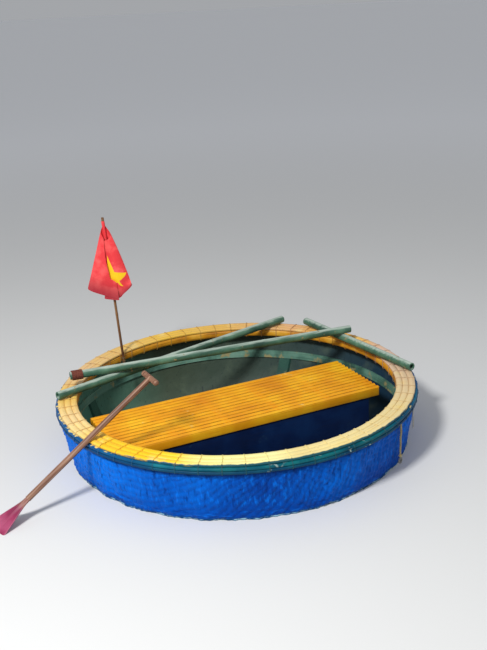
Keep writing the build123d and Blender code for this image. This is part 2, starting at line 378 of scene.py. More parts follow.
def spline_points(route):
    """The points of the smooth line that has a route as its control points."""
    guide = line_curve("guide", route, "NURBS")
    bpy.context.view_layer.update()
    mesh = bpy.data.meshes.new_from_object(guide)
    points = [Vector(point.co) for point in mesh.vertices]
    bpy.data.objects.remove(guide)
    bpy.data.meshes.remove(mesh)
    return points


def evenly_spaced(points, spacing):
    """Points along the same line, a given distance apart."""
    spots = [points[0]]
    left = spacing
    for start, finish in zip(points, points[1:]):
        run = (finish - start).length
        done = 0.0
        while run - done >= left:
            done += left
            spots.append(start.lerp(finish, done / run))
            left = spacing
        left -= run - done
    if (spots[-1] - points[-1]).length > 0.2 * spacing:
        spots.append(points[-1])
    return spots


rope_strands = 3
strand_share = 0.48
level_guide = Vector((0.3, 0.2, 0.93))
hanging_guide = Vector((0.8, 0.6, 0.0))


def laid_rope(name, points, radius, lay_length, closed=False):
    """Strands that wind round a line, as in laid rope."""
    strand_radius = strand_share * radius
    last = len(points) - 1
    made = []
    for number in range(rope_strands):
        spots = []
        gone = 0.0
        for place, point in enumerate(points):
            before = points[max(place - 1, 0)]
            after = points[min(place + 1, last)]
            if closed and place in (0, last):
                before, after = points[-2], points[1]
            along = (after - before).normalized()
            side = along.cross(level_guide if closed else hanging_guide)
            side.normalize()
            turn = 2 * math.pi * (gone / lay_length + number / rope_strands)
            out = side * math.cos(turn) + along.cross(side) * math.sin(turn)
            spots.append(point + (radius - strand_radius) * out)
            if place < last:
                gone += (points[place + 1] - point).length
        if closed:
            spots = spots[:-1]
        made.append(strand("strand", spots, strand_radius, 2, closed))
    return joined(made, name)


# Cords come first, as their room depends on the camera
rope_line = spline_points(rope_route)
thin_line = spline_points(thin_rope_route)
rope_spots = evenly_spaced(rope_line, rope_spacing)
thin_spots = evenly_spaced(thin_line, thin_rope_spacing)
rope_tail = laid_rope("rope_tail", rope_spots, rope_diameter / 2, rope_lay)
thin_tail = laid_rope("thin_rope_tail", thin_spots, thin_rope_diameter / 2, thin_rope_lay)
knot_steps = 72
knot_spread = 0.0017
knot_rise = 0.0042
knot_strand = 0.0032
ring_steps = 60


def rope_knot():
    """An overhand knot pulled tight: a strand that passes three times round itself."""
    centre = Vector(rope_route[-1]) - Vector((0, 0, seat_gap + knot_height / 2))
    line = []
    for step in range(knot_steps):
        turn = 2 * math.pi * step / knot_steps
        across = math.sin(turn) + 2 * math.sin(2 * turn)
        along = math.cos(turn) - 2 * math.cos(2 * turn)
        rise = -knot_rise * math.sin(3 * turn)
        line.append(centre + Vector((across * knot_spread, along * knot_spread, rise)))
    return strand("rope_tail_knot", line, knot_strand, 3, True)


def rope_ring():
    """The eye at the rope's end, laid in three strands like the rope."""
    along = on_circle(1.0, rope_angle + 90)
    drop = knot_height + ring_radius + 2 * seat_gap
    centre = Vector(rope_route[-1]) - Vector((0, 0, drop))
    swing = ring_radius - rope_diameter / 2
    line = []
    for step in range(ring_steps + 1):
        turn = 2 * math.pi * step / ring_steps
        line.append(centre + along * swing * math.cos(turn) + Vector((0, 0, swing * math.sin(turn))))
    return laid_rope("rope_tail_eye", line, rope_diameter / 2, 2 * math.pi * swing / 3, True)


tail_knot = rope_knot()
tail_eye = rope_ring()

# Paints, as a chart gives them from 0 to 255. Three in a row are a dark, a middle and a light one;
# two in a row are mixed, and laps have the colour at the sides before the one at the front
hull_blues = ((0, 66, 158), (0, 84, 184), (2, 102, 208))
# The next two are painted light for the hull's left side and painted shade for its front right
hull_painted_light = (4, 122, 238)
hull_painted_shade = (0, 58, 136)
hull_low = (0, 54, 146)
# Painted highlight and painted shade for the lumps in the hull's paint
hull_lump_highlight = (4, 118, 232)
hull_lump_shade = (0, 44, 120)
# Painted shade in the weave's gaps, outside
hull_weave_gap_shade = (0, 46, 130)
hull_shade = (2, 34, 82)
hull_stain = (20, 70, 110)
tide_line = (150, 190, 205)
inside_worn = (116, 132, 104)
# Painted shade in the weave's gaps, inside
inside_weave_gap_shade = (18, 34, 38)
rim_line = (190, 126, 40)
rim_faded = (250, 226, 150)
rim_bright = (252, 206, 14)
rim_seam = (140, 92, 34)
rim_speck = (120, 84, 44)
rim_laps = ((4, 88, 142), (8, 82, 92))
band_teals = ((0, 56, 76), (4, 86, 100), (24, 122, 122))
band_blue = (4, 84, 150)
band_line = (4, 52, 70)
band_shade = (2, 46, 88)
band_cream = (228, 206, 130)
# Painted shadow along the band's lower edge
band_foot_shadow = (2, 36, 62)
band_chip = (196, 214, 200)
hoop_yellows = ((186, 120, 22), (224, 158, 30), (240, 190, 70))
hoop_line = (110, 66, 20)
binding_bare = (134, 88, 52)
binding_worn = (96, 74, 40)
binding_laps = ((4, 84, 138), (8, 80, 92))
pole_greens = ((36, 70, 58), (60, 102, 82), (98, 140, 114))
pole_bleach_and_highlight = (176, 192, 178)
pole_chip = (150, 134, 92)
bench_yellows = ((222, 142, 6), (238, 164, 8), (250, 190, 26))
bench_worn = (240, 206, 120)
# The boards' navy, darkened as painted shade under the bench
board_navies_and_shade = ((0, 20, 60), (0, 28, 76), (8, 44, 94))
board_worn = (26, 58, 92)
stringer_greens = ((50, 84, 72), (96, 142, 124), (128, 168, 148))
stringer_worn = (160, 150, 104)
rib_greens = ((28, 58, 54), (48, 92, 80), (70, 118, 98))
rib_worn = (112, 116, 84)
bamboo_browns = ((92, 58, 34), (128, 88, 52), (160, 120, 76))
bamboo_worn = (70, 40, 30)
paddle_browns = ((90, 56, 42), (132, 92, 70), (168, 130, 104))
blade_crimsons = ((114, 24, 60), (148, 40, 82), (176, 78, 114))
blade_line = (92, 14, 30)
blade_bare = (132, 78, 62)
# The flag's red, paler and pinker as painted light shining through the cloth
flag_backlit_reds = ((230, 58, 64), (252, 98, 96))
# Painted shade for the flag's lower part
flag_lower_shade = (140, 22, 44)
flag_star = (252, 206, 24)
# The floor's grey near the boat and, paler, far away: painted light where the key light falls off
floor_greys_with_painted_light = ((226, 226, 224), (252, 253, 255))
sky_grey = (236, 239, 244)

# Paints, or shares from 0 to 255, by the angle round the boat
# The rim top's paint round the boat, faded pale at the back and right, with a pale painted highlight at the
# front
rim_top_colours_and_highlight = [
    (-180, (246, 214, 150)), (-170, (246, 214, 140)), (-161, (252, 200, 40)), (-142, (254, 198, 12)),
    (-132, (252, 212, 40)), (-121, (248, 238, 150)), (-105, (250, 242, 168)), (-97, (236, 216, 146)),
    (-84, (242, 224, 158)), (-52, (242, 218, 156)), (-25, (228, 198, 162)), (0, (224, 188, 168)),
    (22, (240, 176, 50)), (45, (232, 180, 130)), (70, (234, 186, 90)), (95, (242, 196, 70)),
    (140, (238, 202, 150)), (160, (250, 204, 90)), (180, (246, 214, 150)),
]
# Inside, lighter on the left and darker at the front and right: painted light and painted shade
inside_lit_and_shaded_colours = [
    (-180, (62, 122, 108)), (-130, (24, 58, 72)), (-60, (14, 40, 66)), (0, (18, 52, 74)),
    (50, (54, 74, 66)), (95, (70, 84, 66)), (140, (92, 148, 128)), (165, (98, 158, 138)), (180, (62, 122, 108)),
]
# The band's own paint shows most at the front, where it laps furthest over the rim's top
front_share = [(-180, 40), (-160, 60), (-138, 220), (-120, 255), (-70, 255), (-44, 190), (-18, 60), (180, 40)]
# Where the hull gets painted light, on its left side, and painted shade, on its front right
painted_light_share = [(-180, 210), (-158, 240), (-138, 110), (-120, 0), (150, 0), (180, 210)]
painted_shade_share = [(-180, 0), (-88, 0), (-66, 160), (-20, 180), (40, 0)]
lap_start = 0.8875
lap_blur = 0.0040
lap_reach = 0.0075


def paint(chart_colour):
    """A chart's colour, turned to the renderer's own scale by the usual display curve."""
    scaled = []
    for part in chart_colour:
        share = part / 255.0
        scaled.append(share / 12.92 if share <= 0.04045 else ((share + 0.055) / 1.055) ** 2.4)
    return (*scaled, 1.0)


class Share:
    """A number or colour that changes over a surface. Sums with it add nodes to its material."""

    def __init__(self, finish, socket):
        self.finish = finish
        self.socket = socket

    def math(self, operation, other=0.0):
        return self.finish.math(operation, self, other)

    def __add__(self, other):
        return self.math("ADD", other)

    def __sub__(self, other):
        return self.math("SUBTRACT", other)

    def __rsub__(self, other):
        return self.finish.math("SUBTRACT", other, self)

    def __mul__(self, other):
        return self.math("MULTIPLY", other)

    def __truediv__(self, other):
        return self.math("DIVIDE", other)

    def mask(self, start, end):
        """0 at the start and 1 at the end, whichever of them is the higher."""
        return self.finish.scaled(self, {"From Min": start, "From Max": end}, interpolation_type="SMOOTHSTEP")


class Finish:
    """A material that is built up coat by coat, from the ground to the last mark."""

    def __init__(self, name, roughness, shine=None):
        self.material = bpy.data.materials.new(name)
        self.material.use_nodes = True
        self.nodes = self.material.node_tree.nodes
        self.links = self.material.node_tree.links
        self.shader = self.nodes["Principled BSDF"]
        self.shader.inputs["Roughness"].default_value = roughness
        if shine is not None:
            self.shader.inputs["Specular IOR Level"].default_value = shine
        self.coordinates = self.node("ShaderNodeTexCoord")
        self.place = self.coordinates.outputs["Object"]
        self.relief = None
        self.surface = None

    def fill(self, socket, value):
        """Links a socket to a share, or gives it a number, a place or a paint."""
        if isinstance(value, Share):
            value = value.socket
        if isinstance(value, bpy.types.NodeSocket):
            self.links.new(value, socket)
        else:
            socket.default_value = paint(value) if socket.type == "RGBA" else value

    def node(self, kind, sockets=None, **settings):
        made = self.nodes.new(kind)
        for name, value in settings.items():
            setattr(made, name, value)
        for socket, value in (sockets or {}).items():
            self.fill(made.inputs[socket], value)
        return made

    def math(self, operation, first, second=0.0):
        return Share(self, self.node("ShaderNodeMath", {0: first, 1: second}, operation=operation).outputs[0])

    def scaled(self, share, sockets, **settings):
        made = self.node("ShaderNodeMapRange", {"Value": share, **sockets}, **settings)
        return Share(self, made.outputs["Result"])

    def attribute(self, name):
        return Share(self, self.node("ShaderNodeAttribute", attribute_name=name).outputs["Fac"])

    def stretched(self, scale, place=None):
        return self.node("ShaderNodeMapping", {"Vector": place or self.place, "Scale": scale}).outputs["Vector"]

    def parts(self, place=None):
        made = self.node("ShaderNodeSeparateXYZ", {0: place or self.place})
        return [Share(self, part) for part in made.outputs]

    def speckle(self, scale, detail=3.0, place=None):
        sockets = {"Vector": place or self.place, "Scale": scale, "Detail": detail, "Roughness": 0.55}
        return Share(self, self.node("ShaderNodeTexNoise", sockets).outputs["Fac"])

    def grain(self, stretch, detail=4.0, place=None):
        """Speckle that is stretched into lines: the finer a direction, the higher its number."""
        return self.speckle(1.0, detail, self.stretched(stretch, place))

    def ramp(self, share, stops):
        made = self.node("ShaderNodeValToRGB", {"Fac": share})
        while len(made.color_ramp.elements) < len(stops):
            made.color_ramp.elements.new(0.5)
        for element, (place, colour) in zip(made.color_ramp.elements, stops):
            element.position = place
            element.color = paint(colour)
        return Share(self, made.outputs["Color"])

    def mixed(self, share, first, second):
        sockets = {0: share, 6: first, 7: second}
        return Share(self, self.node("ShaderNodeMix", sockets, data_type="RGBA").outputs[2])

    def ground(self, share, colours, places=(0.32, 0.50, 0.68)):
        """The first coat: dark, middle and light along a share."""
        self.surface = self.ramp(share, list(zip(places, colours)))

    def coat(self, colour, share, amount=None):
        """A thinner or thicker coat over what is there, where a share says so."""
        if amount is not None:
            share = share * amount
        self.surface = self.mixed(share, self.surface, colour)

    def rough(self, share, low, high):
        self.fill(self.shader.inputs["Roughness"], self.scaled(share, {"To Min": low, "To Max": high}))

    def bump(self, height, distance, strength):
        sockets = {"Height": height, "Distance": distance, "Strength": strength}
        if self.relief is not None:
            sockets["Normal"] = self.relief
        self.relief = self.node("ShaderNodeBump", sockets).outputs["Normal"]
        self.fill(self.shader.inputs["Normal"], self.relief)

    def radius(self):
        across, along = self.parts()[:2]
        return (across * across + along * along).math("SQRT")

    def by_angle(self, table, waver=0.0):
        """A table's paints or shares round the boat, with a wavering line between them."""
        across, along = self.parts()[:2]
        share = along.math("ARCTAN2", across) / (2 * math.pi) + 0.5
        if waver:
            share = share + (self.speckle(3.0) - 0.5) * waver
        share = share.math("MAXIMUM", 0.0).math("MINIMUM", 1.0)
        stops = []
        for angle, value in table:
            stops.append(((angle + 180.0) / 360.0, value if isinstance(value, tuple) else (value,) * 3))
        return self.ramp(share, stops)

    def strip_lines(self, colour, amount, fineness=240.0, slowness=3.0):
        """Long thin marks that run with a bent strip: fine across it and slow along it."""
        across, along, up = self.parts()
        sockets = {
            0: self.radius() * fineness + across * slowness,
            1: up * fineness + along * slowness,
            2: (across - along) * slowness,
        }
        grain = self.speckle(1.0, 3.0, self.node("ShaderNodeCombineXYZ", sockets).outputs[0])
        self.coat(colour, grain.mask(0.54, 0.68), amount)
        return grain

    def band_lap(self, radius, colours):
        """The band's paint where it laps over the rim's top, in its colours at the sides and the front."""
        front = self.by_angle(front_share)
        lap = (radius + front * lap_reach).mask(lap_start, lap_start + lap_blur)
        self.coat(self.mixed(front, *colours), lap)

    def done(self):
        self.fill(self.shader.inputs["Base Color"], self.surface)
        return self.material


def hull_outside_finish():
    finish = Finish("hull_blue_paint", 0.46, 0.06)
    height = finish.parts()[2]
    finish.ground(finish.speckle(2.2, 4.0), hull_blues, (0.30, 0.50, 0.68))
    # Painted light on the hull's left side and painted shade on its front right
    finish.coat(hull_painted_light, finish.by_angle(painted_light_share), 0.9)
    finish.coat(hull_painted_shade, finish.by_angle(painted_shade_share), 0.6)
    finish.coat(hull_low, height.mask(0.130, 0.0), 0.5)
    upright = finish.grain((64.0, 64.0, 15.0), 3.0)
    level = finish.grain((15.0, 15.0, 64.0), 3.0)
    low_down = height.mask(0.100, 0.030)
    streaks = level * low_down + upright * (1.0 - low_down)
    # Painted highlights on the streaks' crests and painted shade between them; the same streaks also make the
    # bump
    finish.coat(hull_lump_highlight, streaks.mask(0.54, 0.68), 0.55)
    finish.coat(hull_lump_shade, streaks.mask(0.46, 0.32), 0.65)
    # Painted shade in the weave's gaps
    finish.coat(hull_weave_gap_shade, finish.attribute("weave").mask(0.50, 0.0), 0.4)
    finish.coat(hull_shade, height.mask(0.222, 0.247))
    finish.coat(hull_stain, height.mask(0.020, 0.0))
    tide = height.mask(0.001, 0.004) * height.mask(0.010, 0.005)
    finish.coat(tide_line, tide * finish.speckle(26.0).mask(0.42, 0.58))
    finish.rough(finish.speckle(38.0, 4.0), 0.40, 0.62)
    finish.bump(streaks, 0.0030, 0.8)
    finish.bump(finish.speckle(160.0), 0.0006, 0.5)
    return finish.done()


def hull_inside_finish():
    finish = Finish("hull_inside_paint", 0.6)
    # Painted light on the inside's left and painted shade at its front and right
    finish.surface = finish.by_angle(inside_lit_and_shaded_colours, 0.06)
    grime = finish.speckle(9.0, 5.0)
    finish.coat(inside_worn, grime.mask(0.50, 0.72), 0.22)
    # Painted shade in the weave's gaps
    finish.coat(inside_weave_gap_shade, finish.attribute("weave").mask(0.40, 0.05))
    finish.rough(grime, 0.5, 0.75)
    finish.bump(finish.speckle(90.0, 4.0), 0.0012, 0.6)
    return finish.done()


def rim_top_finish():
    finish = Finish("rim_top_paint", 0.46)
    # The rim's paint round the boat, with a painted highlight at the front
    finish.surface = finish.by_angle(rim_top_colours_and_highlight, 0.05)
    grain = finish.strip_lines(rim_line, 0.3, 260.0)
    patches = finish.speckle(11.0, 4.0)
    finish.coat(rim_faded, patches.mask(0.52, 0.70), 0.5)
    finish.coat(rim_bright, finish.speckle(4.0).mask(0.54, 0.68), 0.25)
    radius = finish.radius()
    from_middle = (((radius - cap_inner) / strip_width).math("FRACT") - 0.5).math("ABSOLUTE")
    finish.coat(rim_seam, from_middle.mask(0.470, 0.50), 0.2)
    finish.coat(rim_speck, finish.speckle(120.0, 2.0).mask(0.66, 0.74), 0.6)
    finish.band_lap(radius + (finish.speckle(22.0, 4.0) - 0.5) * 0.012, rim_laps)
    finish.rough(patches, 0.36, 0.60)
    finish.bump(grain, 0.0012, 0.6)
    return finish.done()


def outer_hoop_finish():
    finish = Finish("outer_hoop_teal_paint", 0.42, 0.14)
    patches = finish.speckle(7.0, 5.0)
    front = finish.by_angle(front_share)
    height = finish.parts()[2]
    finish.ground(patches, band_teals)
    finish.coat(band_blue, 1.0 - front, 0.85)
    grain = finish.strip_lines(band_line, 0.6, 300.0, 4.0)
    finish.coat(band_shade, height.mask(0.2740, 0.2560), 0.7)
    drips = (finish.grain((34.0, 34.0, 9.0)) - 0.5) * 0.022
    finish.coat(band_cream, (height + drips - front * 0.0060).mask(0.2776, 0.2795))
    # Painted shadow along the band's lower edge
    finish.coat(band_foot_shadow, height.mask(0.2535, 0.2490))
    chips = finish.speckle(46.0, 4.0).mask(0.60, 0.66)
    finish.coat(band_chip, chips * finish.speckle(3.6, 2.0).mask(0.50, 0.60))
    finish.rough(patches, 0.32, 0.55)
    finish.bump(grain, 0.0014, 0.6)
    finish.bump(finish.speckle(60.0, 4.0), 0.0014, 0.6)
    return finish.done()


def inner_hoop_finish():
    finish = Finish("inner_hoop_yellow_paint", 0.5)
    patches = finish.speckle(8.0, 4.0)
    finish.ground(patches, hoop_yellows, (0.34, 0.52, 0.70))
    grain = finish.strip_lines(hoop_line, 0.6)
    finish.rough(patches, 0.38, 0.62)
    finish.bump(grain, 0.0012, 0.6)
    return finish.done()


def stringer_finish():
    finish = Finish("stringer_green_paint", 0.5)
    finish.ground(finish.speckle(6.0, 4.0), stringer_greens)
    grain = finish.strip_lines(stringer_greens[0], 0.6)
    finish.coat(stringer_worn, finish.speckle(16.0, 5.0).mask(0.56, 0.66))
    finish.bump(grain, 0.0012, 0.6)
    return finish.done()


def binding_finish():
    finish = Finish("painted_binding", 0.6)
    # The rim's paint round the boat, with a painted highlight at the front
    finish.surface = finish.by_angle(rim_top_colours_and_highlight, 0.05)
    finish.coat(binding_bare, 1.0 - finish.by_angle(front_share), 0.42)
    finish.band_lap(finish.radius(), binding_laps)
    finish.coat(binding_worn, finish.speckle(30.0).mask(0.55, 0.66), 0.25)
    finish.bump(finish.speckle(500.0, 2.0), 0.0006, 0.8)
    return finish.done()


def painted_bamboo(name, colours, worn, wear, stretch=(6.0, 160.0, 160.0), roughness=0.45):
    """Paint over split bamboo, with its grain along one axis."""
    finish = Finish(name, roughness)
    finish.ground(finish.speckle(5.0, 4.0), colours)
    grain = finish.grain(stretch)
    finish.coat(colours[0], grain.mask(0.55, 0.72), 0.5)
    finish.coat(worn, finish.speckle(14.0, 5.0).mask(wear, wear + 0.10))
    finish.rough(grain, roughness - 0.08, roughness + 0.16)
    finish.bump(grain, 0.0010, 0.6)
    return finish.done()


def pole_finish():
    """Green paint, paler on its upper side: partly bleached by the sun and partly a painted highlight."""
    finish = Finish("pole_green_paint", 0.5)
    finish.ground(finish.speckle(6.0, 4.0), pole_greens)
    grain = finish.grain((9.0, 60.0, 160.0))
    upward = finish.parts(finish.node("ShaderNodeNewGeometry").outputs["Normal"])[2]
    # Paler on the upper side: sun-bleached paint and a painted highlight
    finish.coat(pole_bleach_and_highlight, (upward + (grain - 0.5) * 0.9).mask(0.50, 1.06))
    finish.coat(pole_chip, finish.speckle(26.0, 5.0).mask(0.64, 0.70))
    finish.rough(grain, 0.40, 0.65)
    finish.bump(grain, 0.0010, 0.6)
    return finish.done()


def cord_finish(name, dark, light, fineness=700.0):
    finish = Finish(name, 0.85)
    fibres = finish.grain((fineness, fineness, 0.25 * fineness), 3.0)
    finish.surface = finish.mixed(fibres.mask(0.35, 0.65), dark, light)
    finish.coat(dark, finish.speckle(40.0).mask(0.55, 0.70))
    finish.bump(fibres, 0.0006, 0.8)
    return finish.done()


def paddle_place(finish):
    """Coordinates that run along the paddle."""
    turn = Matrix((paddle_inboard, paddle_across, paddle_face)).to_euler()
    return finish.node("ShaderNodeMapping", {"Vector": finish.place, "Rotation": tuple(turn)}).outputs["Vector"]


def paddle_wood_finish():
    finish = Finish("paddle_red_brown_wood", 0.48)
    grain = finish.grain((7.0, 150.0, 150.0), place=paddle_place(finish))
    finish.ground(grain, paddle_browns, (0.30, 0.50, 0.70))
    finish.coat(paddle_browns[2], finish.speckle(12.0, 5.0).mask(0.58, 0.70), 0.6)
    finish.rough(grain, 0.40, 0.63)
    finish.bump(grain, 0.0008, 0.6)
    return finish.done()


def blade_finish():
    """Paint on the blade, worn to the wood at its neck."""
    finish = Finish("blade_crimson_paint", 0.45)
    grain = finish.grain((8.0, 120.0, 120.0), place=paddle_place(finish))
    patches = finish.speckle(9.0, 4.0)
    finish.ground(patches, blade_crimsons, (0.32, 0.50, 0.70))
    finish.coat(blade_line, grain.mask(0.54, 0.70), 0.5)
    spot = finish.node("ShaderNodeVectorMath", {0: finish.place, 1: tuple(paddle_origin)}, operation="SUBTRACT")
    sockets = {0: spot.outputs[0], 1: tuple(paddle_inboard)}
    along = finish.node("ShaderNodeVectorMath", sockets, operation="DOT_PRODUCT").outputs["Value"]
    finish.coat(blade_bare, (Share(finish, along) + patches * 0.06).mask(-0.40, -0.36))
    finish.rough(grain, 0.36, 0.58)
    finish.bump(grain, 0.0008, 0.6)
    return finish.done()


star_reach = 0.3 * flag_hoist
star_waist = 0.382 * star_reach
star_blur = 0.001


def flag_finish():
    """Red cotton with a five-pointed star drawn by the cloth's own map, hoist to fly and down."""
    finish = Finish("flag_red_cotton", 0.9)
    cloth_map = finish.coordinates.outputs["UV"]
    fly, hoist = finish.parts(cloth_map)[:2]
    across = (fly - 0.5) * flag_fly
    up = (hoist - 0.5) * flag_hoist
    reach = (across * across + up * up).math("SQRT")
    fifth = 2 * math.pi / 5
    turn = across.math("ARCTAN2", up) + 2 * math.pi
    from_point = ((turn + fifth / 2).math("MODULO", fifth) - fifth / 2).math("ABSOLUTE")
    waist = star_waist * Vector((math.cos(fifth / 2), math.sin(fifth / 2)))
    edge = Vector((waist.y, star_reach - waist.x)).normalized()
    limit = edge.x * star_reach
    level = reach * from_point.math("COSINE") * edge.x + reach * from_point.math("SINE") * edge.y
    # The red is paler and pinker than the cloth's own: painted light shining through it
    finish.surface = finish.mixed(finish.speckle(14.0, 4.0).mask(0.40, 0.66), *flag_backlit_reds)
    # Painted shade, darker towards the cloth's lower edge
    finish.coat(flag_lower_shade, hoist.mask(0.34, 0.0), 0.75)
    finish.coat(flag_star, level.mask(limit + star_blur, limit - star_blur))
    finish.bump(finish.grain((1500.0, 1000.0, 1.0), 1.0, cloth_map), 0.0003, 0.6)
    return finish.done()


hull_blue = hull_outside_finish()
hull_inside = hull_inside_finish()
rim_top_paint = rim_top_finish()
outer_hoop_paint = outer_hoop_finish()
inner_hoop_paint = inner_hoop_finish()
binding_paint = binding_finish()
pole_paint = pole_finish()
bench_paint = painted_bamboo("bench_yellow_paint", bench_yellows, bench_worn, 0.66)
# Navy paint, darkened as painted shade under the bench
board_paint = painted_bamboo("board_navy_paint", board_navies_and_shade, board_worn, 0.64, (5.0, 60.0, 90.0))
stringer_paint = stringer_finish()
rib_paint = painted_bamboo("rib_green_paint", rib_greens, rib_worn, 0.58)
bare_bamboo = painted_bamboo("bare_bamboo", bamboo_browns, bamboo_worn, 0.60, (90.0, 90.0, 4.0), 0.55)
tie_cord = cord_finish("tie_cord", (84, 70, 44), (150, 132, 92))
whipping_paint = cord_finish("whipping_red_brown_cord", (84, 36, 28), (142, 76, 58), 500.0)
rope_fibre = cord_finish("rope_fibre", (140, 120, 74), (212, 194, 140))
eye_fibre = cord_finish("rope_eye_fibre", (84, 84, 82), (158, 156, 150))
thin_fibre = cord_finish("thin_rope_fibre", (150, 144, 124), (220, 214, 194))
paddle_wood = paddle_wood_finish()
blade_paint = blade_finish()
flag_cotton = flag_finish()


def dressed(piece, material, slot, *nodes):
    """Gives a finished piece its material, if it has none yet, and hides the CAD nodes it stands for, if any.
    """
    if not piece.data.materials:
        piece.data.materials.append(material)
    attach(piece, "root")
    if nodes:
        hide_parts(*nodes)


def painted_node(node, material):
    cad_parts[node].data.materials.clear()
    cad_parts[node].data.materials.append(material)


dressed(rope_tail, rope_fibre, "rope", "mooring_rope")
dressed(tail_knot, rope_fibre, "rope", "mooring_rope_knot")
dressed(tail_eye, eye_fibre, "rope", "mooring_rope_ring")
dressed(thin_tail, thin_fibre, "rope", "thin_rope")

# Hull: a mat of bamboo strips pressed into a bowl, so the strips run straight up the wall
# on its two axes and slant between them
mat_turn = -59.0
mat_cell = 0.031
mat_bottom_run = 0.94
drift_offset = Vector((9.0, 4.0, 2.0))
hull_steps = 800
hull_spacing = 0.0062
outer_corner_radii = (0.250, 0.400, 0.200, 0.900)
inner_corner_radii = (0.250, 0.400, 0.190, 0.900)
# The section's points are further apart where less shows: low down, under the hoops and inside
wall_foot = -0.060
covered_edge = 0.252
bottom_spacing = 0.045
edge_spacing = 0.030
inner_spacing = 0.014
# How deep the weave and the lumps are, outside and inside, and where they fade below the hoops
weave_depths = (0.0064, 0.0016)
dent_shares = (1.0, 0.25)
dent_depth = 0.0050
streak_depth = 0.0068
mean_weave = 0.42
fade_gap = 0.004
fade_height = 0.020


def rounded_corners(corners, radii, spacing):
    """A line of (radius, height) points with an arc at each corner, at most a spacing apart."""
    corners = [Vector(corner) for corner in corners]
    spots = [corners[0]]
    for before, corner, after, radius in zip(corners, corners[1:], corners[2:], radii):
        arriving = (corner - before).normalized()
        leaving = (after - corner).normalized()
        turn = arriving.angle_signed(leaving)
        start = corner - arriving * radius * math.tan(abs(turn) / 2)
        side = Vector((arriving.y, -arriving.x)) * (1 if turn > 0 else -1)
        centre = start + side * radius
        pieces = max(2, int(abs(turn) * radius / spacing))
        for step in range(pieces + 1):
            spots.append(centre + Matrix.Rotation(-turn * step / pieces, 2) @ (start - centre))
    spots.append(corners[-1])
    line = [spots[0]]
    for start, finish in zip(spots, spots[1:]):
        run = (finish - start).length
        if run < on_axis_distance:
            continue
        pieces = max(1, math.ceil(run / spacing))
        line += [start.lerp(finish, step / pieces) for step in range(1, pieces + 1)]
    return line


def bowl_line(inset, radii):
    """The hull's section, from its edge to the middle of its bottom, some way in from the outside."""
    corners = [
        (mouth_radius - inset, hull_edge),
        (mouth_radius - inset, 0.217),
        (0.8459 - inset, 0.015),
        (0.800 - inset, -0.127 + inset / 2),
        (0.522, inset - 0.2046),
        (0.0, inset - draft),
    ]
    return rounded_corners(corners, radii, hull_spacing)


def thinned(line, spacing, test):
    """Leaves out points closer than a spacing to the last one kept, where a test holds."""
    kept = [line[0]]
    for spot in line[1:-1]:
        if not test(spot) or (spot - kept[-1]).length >= spacing:
            kept.append(spot)
    kept.append(line[-1])
    return kept


def weave_height(across, along):
    """Height of a plain weave, 0 in its gaps and 1 on its crowns; the strips take turns to lie on top."""
    column = math.floor(across)
    row = math.floor(along)
    over = across - column - 0.5
    aside = along - row - 0.5
    if (column + row) % 2:
        over, aside = aside, over
    crown = 1.0 - 0.65 * (2 * abs(aside)) ** 2.4
    return crown * (0.30 + 0.70 * math.cos(math.pi * over))


def mat_height(spot):
    """The weave's height at a point of the bowl, on a mat whose strips wander a little."""
    radius = math.hypot(spot.x, spot.y)
    up_wall = mat_bottom_run + spot.z - radius
    run = radius + up_wall * step_between(spot.z, -0.19, -0.02) * (spot.z >= -0.15)
    angle = math.atan2(spot.y, spot.x) - math.radians(mat_turn)
    wander = noise.noise(spot * 6.0) * 0.7 + noise.noise(spot * 21.0) * 0.28
    drift = noise.noise(spot * 6.0 + drift_offset) * 0.7 + noise.noise(spot * 23.0) * 0.28
    return weave_height(run * math.cos(angle) / mat_cell + wander, run * math.sin(angle) / mat_cell + drift)


def dent(spot):
    """Lumps in the thick paint: upright streaks on the wall and level ones near the waterline."""
    low_down = step_between(0.09 - spot.z, 0.0, 0.07)
    upright = noise_at(spot.x * 36.0, spot.y * 36.0, spot.z * 13.0)
    level = noise_at(spot.x * 13.0, spot.y * 13.0, spot.z * 42.0)
    streak = upright * (1.0 - low_down) + level * low_down
    return noise.noise(spot * 13.0) * dent_depth + streak * streak_depth


def woven_hull():
    outside = bowl_line(0.0, outer_corner_radii)
    outside = thinned(outside, bottom_spacing, lambda spot: spot.y < wall_foot)
    outside = thinned(outside, edge_spacing, lambda spot: spot.y > covered_edge)
    inside = bowl_line(hull_wall, inner_corner_radii)
    inside = thinned(inside, inner_spacing, lambda spot: spot.y > wall_foot)
    inside = thinned(inside, bottom_spacing, lambda spot: spot.y <= wall_foot)
    outline = [tuple(spot) for spot in outside[::-1] + inside]
    shell = turned("woven_hull", outline, hull_steps, on_axis=True)
    mesh = shell.data
    inner_side = set()
    for face in mesh.polygons:
        inward = face.normal.dot(Vector((face.center.x, face.center.y, 0.0))) < 0
        if inward or (face.center.z < -0.1 and face.normal.z > 0):
            face.material_index = 1
            inner_side.update(face.vertices)
    crowns = mesh.attributes.new("weave", "FLOAT", "POINT")
    normals = [Vector(point.normal) for point in mesh.vertices]
    for number, point in enumerate(mesh.vertices):
        spot = point.co
        height = mat_height(spot)
        crowns.data[number].value = height
        inner = number in inner_side
        top = inner_hoop_bottom if inner else outer_hoop_bottom
        thick = 0.6 + 0.8 * (0.55 + 0.45 * noise.noise(spot * 5.0))
        lift = (height - mean_weave) * weave_depths[inner] * thick + dent(spot) * dent_shares[inner]
        point.co = spot + normals[number] * lift * step_between(top - fade_gap - spot.z, 0.0, fade_height)
    mesh.update()
    mesh.materials.append(hull_blue)
    mesh.materials.append(hull_inside)
    smooth(shell, 60.0)
    dressed(shell, hull_blue, "hull_weave", "hull_shell")


woven_hull()

# Rim
knuckle_width = 0.006
strip_gap = 0.0003
